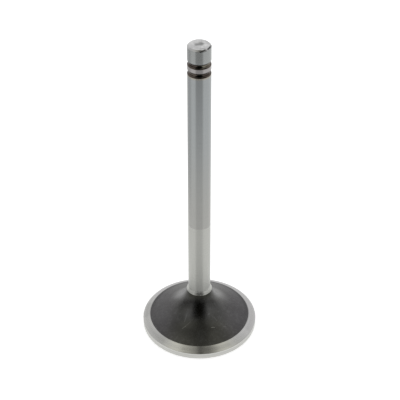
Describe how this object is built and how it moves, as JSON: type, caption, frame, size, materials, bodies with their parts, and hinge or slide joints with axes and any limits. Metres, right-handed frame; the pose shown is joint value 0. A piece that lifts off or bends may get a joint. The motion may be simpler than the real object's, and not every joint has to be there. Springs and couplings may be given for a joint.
{
  "type": "engine valve",
  "caption": "Engine poppet valve: a round ground stem with keeper grooves below its tip flares through a hollow neck into a broad flat head with a conical seat and an upright rim.",
  "frame": {"origin": "centre of the combustion face, on the plane that the valve stands on", "axes": "+Z along the stem, from the head to the tip; the valve is the same all round, so +X and +Y may point anywhere"},
  "size_m": [0.0418, 0.0418, 0.119],
  "materials": {
    "valve_steel": "ground bright on the stem, seat, rim and faces; dark forged and nitrided skin on the neck and back of the head and in the keeper grooves"
  },
  "bodies": {
    "root": {"valve": "valve_steel"}
  },
  "joints": []
}
